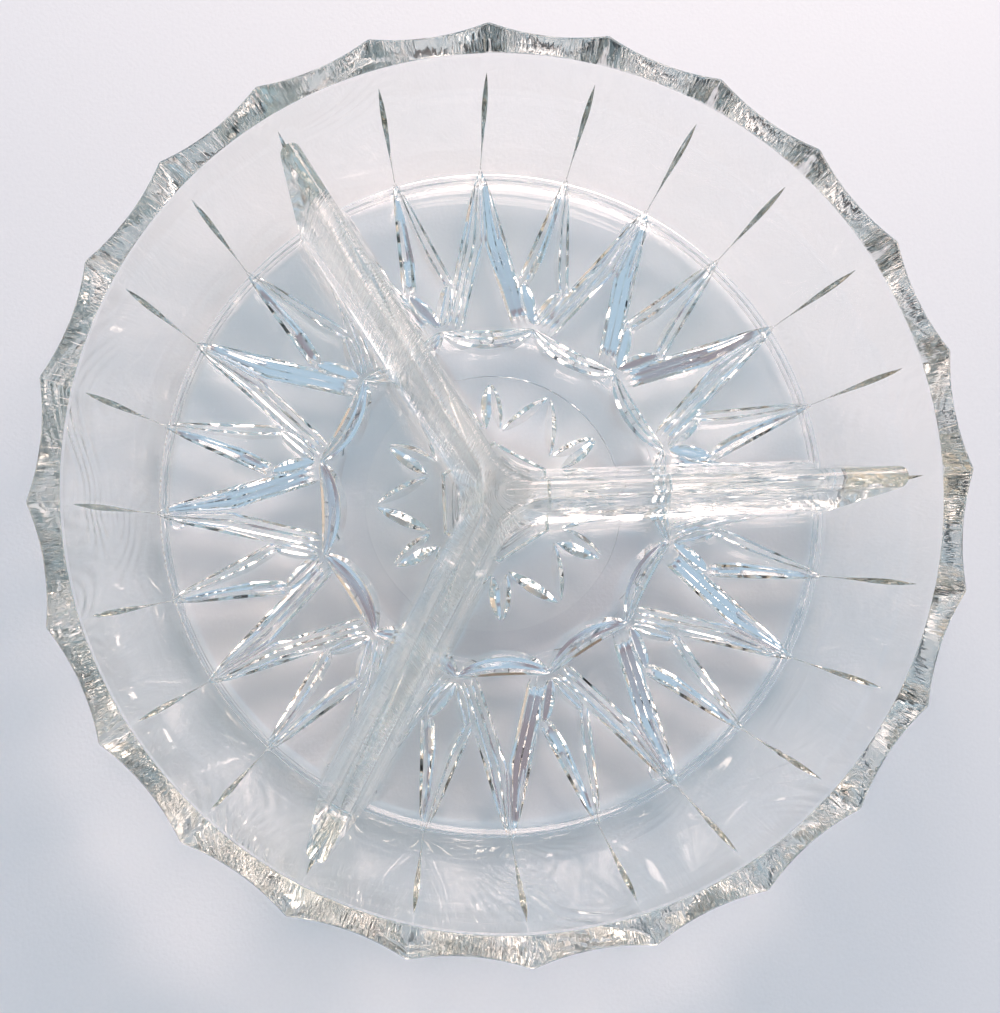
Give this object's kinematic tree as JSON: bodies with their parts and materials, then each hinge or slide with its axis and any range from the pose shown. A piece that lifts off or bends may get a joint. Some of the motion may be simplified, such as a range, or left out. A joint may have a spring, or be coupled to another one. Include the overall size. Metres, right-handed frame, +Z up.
{
  "type": "lazy susan turntable",
  "caption": "Divided pressed-glass serving dish with a scalloped rim on a low clear swivel base that turns on ball bearings.",
  "frame": {"origin": "on the table, under the centre of the dish", "axes": "+Z up along the axis the dish turns on; +X along one of the dividers"},
  "size_m": [0.27, 0.27, 0.0591],
  "materials": {
    "pressed_glass": "clear pressed glass",
    "ball_glass": "polished glass",
    "clear_acrylic": "clear polished acrylic",
    "clear_cage": "clear moulded plastic",
    "slick_washer": "translucent low-friction plastic",
    "clear_silicone": "soft clear silicone"
  },
  "bodies": {
    "base": {"base_plate": "clear_acrylic", "pivot_pin": "clear_acrylic", "thrust_washer": "slick_washer", "retaining_clip": "clear_cage", "foot_1": "clear_silicone", "foot_2": "clear_silicone", "foot_3": "clear_silicone", "foot_4": "clear_silicone", "foot_5": "clear_silicone", "foot_6": "clear_silicone"},
    "turntable": {"top_plate": "clear_acrylic", "pad_1": "clear_silicone", "pad_2": "clear_silicone", "pad_3": "clear_silicone", "pad_4": "clear_silicone", "pad_5": "clear_silicone", "pad_6": "clear_silicone"},
    "dish": {"glass_dish": "pressed_glass"},
    "cage": {"ball_cage": "clear_cage"},
    "ball_01": {"ball_01": "ball_glass"},
    "ball_02": {"ball_02": "ball_glass"},
    "ball_03": {"ball_03": "ball_glass"},
    "ball_04": {"ball_04": "ball_glass"},
    "ball_05": {"ball_05": "ball_glass"},
    "ball_06": {"ball_06": "ball_glass"},
    "ball_07": {"ball_07": "ball_glass"},
    "ball_08": {"ball_08": "ball_glass"},
    "ball_09": {"ball_09": "ball_glass"},
    "ball_10": {"ball_10": "ball_glass"},
    "ball_11": {"ball_11": "ball_glass"},
    "ball_12": {"ball_12": "ball_glass"}
  },
  "joints": [
    {"name": "turntable_spin", "type": "hinge", "parent": "base", "child": "turntable", "pos_m": [0, 0, 0.0085], "axis": [0, 0, 1], "continuous": true},
    {"name": "dish_lift", "type": "slide", "parent": "turntable", "child": "dish", "axis": [0, 0, 1], "range_m": [0, 0.06]},
    {"name": "cage_spin", "type": "hinge", "parent": "base", "child": "cage", "pos_m": [0, 0, 0.0085], "axis": [0, 0, 1], "continuous": true},
    {"name": "ball_01_roll", "type": "hinge", "parent": "cage", "child": "ball_01", "pos_m": [0.0484, 0, 0.0085], "axis": [1, 0, 0], "continuous": true},
    {"name": "ball_02_roll", "type": "hinge", "parent": "cage", "child": "ball_02", "pos_m": [0.04192, 0.0242, 0.0085], "axis": [0.866, 0.5, 0], "continuous": true},
    {"name": "ball_03_roll", "type": "hinge", "parent": "cage", "child": "ball_03", "pos_m": [0.0242, 0.04192, 0.0085], "axis": [0.5, 0.866, 0], "continuous": true},
    {"name": "ball_04_roll", "type": "hinge", "parent": "cage", "child": "ball_04", "pos_m": [0, 0.0484, 0.0085], "axis": [0, 1, 0], "continuous": true},
    {"name": "ball_05_roll", "type": "hinge", "parent": "cage", "child": "ball_05", "pos_m": [-0.0242, 0.04192, 0.0085], "axis": [-0.5, 0.866, 0], "continuous": true},
    {"name": "ball_06_roll", "type": "hinge", "parent": "cage", "child": "ball_06", "pos_m": [-0.04192, 0.0242, 0.0085], "axis": [-0.866, 0.5, 0], "continuous": true},
    {"name": "ball_07_roll", "type": "hinge", "parent": "cage", "child": "ball_07", "pos_m": [-0.0484, 0, 0.0085], "axis": [-1, 0, 0], "continuous": true},
    {"name": "ball_08_roll", "type": "hinge", "parent": "cage", "child": "ball_08", "pos_m": [-0.04192, -0.0242, 0.0085], "axis": [-0.866, -0.5, 0], "continuous": true},
    {"name": "ball_09_roll", "type": "hinge", "parent": "cage", "child": "ball_09", "pos_m": [-0.0242, -0.04192, 0.0085], "axis": [-0.5, -0.866, 0], "continuous": true},
    {"name": "ball_10_roll", "type": "hinge", "parent": "cage", "child": "ball_10", "pos_m": [0, -0.0484, 0.0085], "axis": [0, -1, 0], "continuous": true},
    {"name": "ball_11_roll", "type": "hinge", "parent": "cage", "child": "ball_11", "pos_m": [0.0242, -0.04192, 0.0085], "axis": [0.5, -0.866, 0], "continuous": true},
    {"name": "ball_12_roll", "type": "hinge", "parent": "cage", "child": "ball_12", "pos_m": [0.04192, -0.0242, 0.0085], "axis": [0.866, -0.5, 0], "continuous": true}
  ],
  "couplings": [
    {"joint": "cage_spin", "follows": "turntable_spin", "ratio": 0.5},
    {"joint": "ball_01_roll", "follows": "turntable_spin", "ratio": -9.68},
    {"joint": "ball_02_roll", "follows": "turntable_spin", "ratio": -9.68},
    {"joint": "ball_03_roll", "follows": "turntable_spin", "ratio": -9.68},
    {"joint": "ball_04_roll", "follows": "turntable_spin", "ratio": -9.68},
    {"joint": "ball_05_roll", "follows": "turntable_spin", "ratio": -9.68},
    {"joint": "ball_06_roll", "follows": "turntable_spin", "ratio": -9.68},
    {"joint": "ball_07_roll", "follows": "turntable_spin", "ratio": -9.68},
    {"joint": "ball_08_roll", "follows": "turntable_spin", "ratio": -9.68},
    {"joint": "ball_09_roll", "follows": "turntable_spin", "ratio": -9.68},
    {"joint": "ball_10_roll", "follows": "turntable_spin", "ratio": -9.68},
    {"joint": "ball_11_roll", "follows": "turntable_spin", "ratio": -9.68},
    {"joint": "ball_12_roll", "follows": "turntable_spin", "ratio": -9.68}
  ]
}
